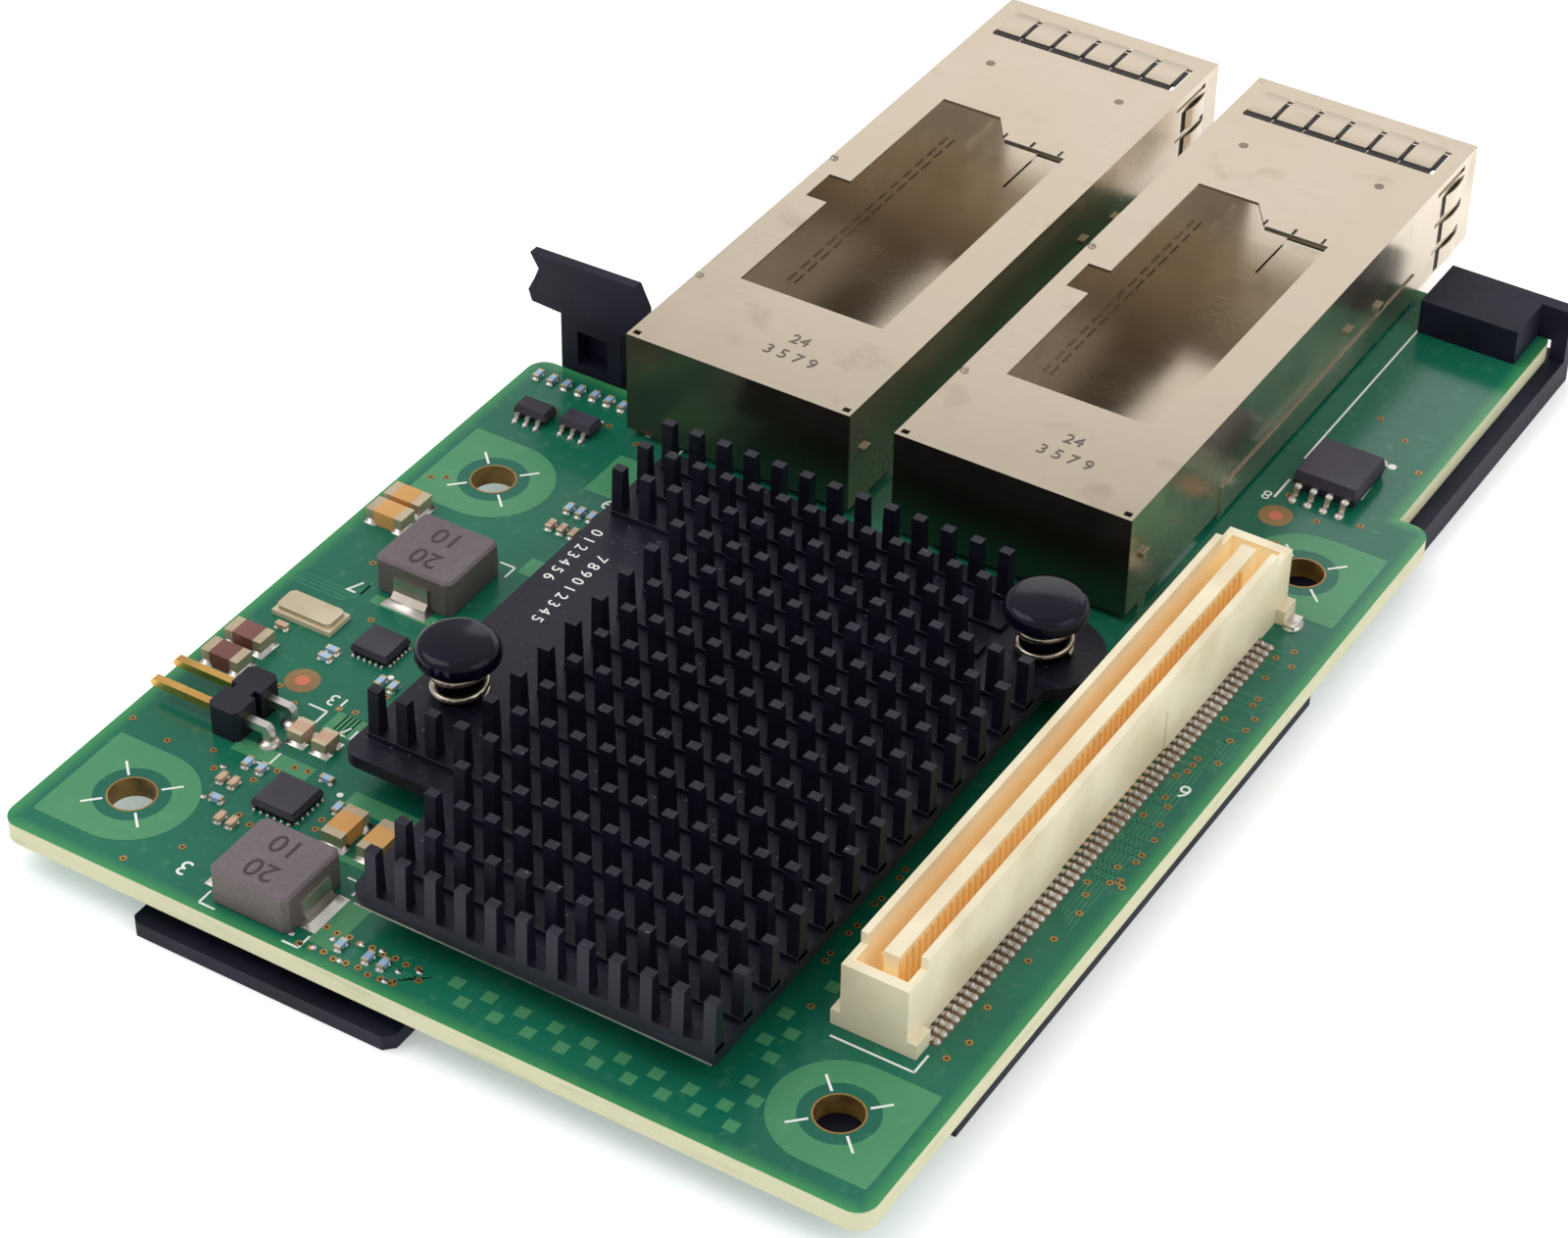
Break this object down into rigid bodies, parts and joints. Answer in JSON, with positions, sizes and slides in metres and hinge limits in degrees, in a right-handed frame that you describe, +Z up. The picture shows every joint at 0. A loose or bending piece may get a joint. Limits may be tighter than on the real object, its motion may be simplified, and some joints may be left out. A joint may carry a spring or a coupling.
{
  "type": "ethernet adapter card",
  "caption": "Network adapter card on a green board with a black pin heatsink, a cream board connector and side-by-side open metal module cages.",
  "frame": {"origin": "axis of the rear left mounting hole, at the board's top face", "axes": "+X across the board towards the board connector, +Y from the rear edge towards the module ports, +Z up out of the board's component side"},
  "size_m": [0.0686, 0.1191, 0.014],
  "materials": {
    "solder_mask_board": "green solder mask over copper, glass-epoxy edge",
    "black_plastic": "fine moulded satin",
    "cage_metal": "tin-nickel plated sheet, rolled grain",
    "connector_black": "moulded",
    "contact_gold": "gold plated",
    "anodised_black": "black anodised aluminium, extruded",
    "spring_steel": "drawn wire",
    "chip_black": "moulded epoxy",
    "thermal_grey": "soft thermal pad",
    "connector_cream": "moulded high-temperature plastic",
    "tinned_metal": "tinned, solder filleted",
    "ferrite_grey": "pressed iron powder",
    "ceramic_tan": "fired ceramic",
    "ceramic_brown": "fired ceramic",
    "ceramic_blue": "fired ceramic",
    "lid_metal": "plated lid"
  },
  "bodies": {
    "root": {"pcb": "solder_mask_board", "insulator_plate": "black_plastic", "front_bracket": "black_plastic", "cage_left": "cage_metal", "cage_right": "cage_metal", "cage_floor_left": "cage_metal", "cage_floor_right": "cage_metal", "socket_left": "connector_black", "socket_right": "connector_black", "socket_contacts_left": "contact_gold", "socket_contacts_right": "contact_gold", "heatsink": "anodised_black", "push_pins": "connector_black", "push_pin_springs": "spring_steel", "controller_substrate": "solder_mask_board", "controller_lid": "chip_black", "thermal_pad": "thermal_grey", "mezzanine_housing": "connector_cream", "mezzanine_contacts_left": "contact_gold", "mezzanine_contacts_right": "contact_gold", "mezzanine_hold_downs": "tinned_metal", "inductor_bodies": "ferrite_grey", "inductor_terminals": "tinned_metal", "power_chips": "chip_black", "crystal_base": "ceramic_tan", "crystal_lid": "lid_metal", "flash_chip": "chip_black", "flash_leads": "tinned_metal", "small_chips": "chip_black", "small_chip_leads": "tinned_metal", "header_body": "connector_black", "header_pins": "contact_gold", "large_capacitors_tan": "ceramic_tan", "large_capacitors_brown": "ceramic_brown", "medium_capacitors": "ceramic_tan", "capacitor_ends": "tinned_metal", "small_capacitors_tan": "ceramic_tan", "small_capacitors_blue": "ceramic_blue", "resistors": "ceramic_blue", "small_part_ends": "tinned_metal"}
  },
  "joints": []
}
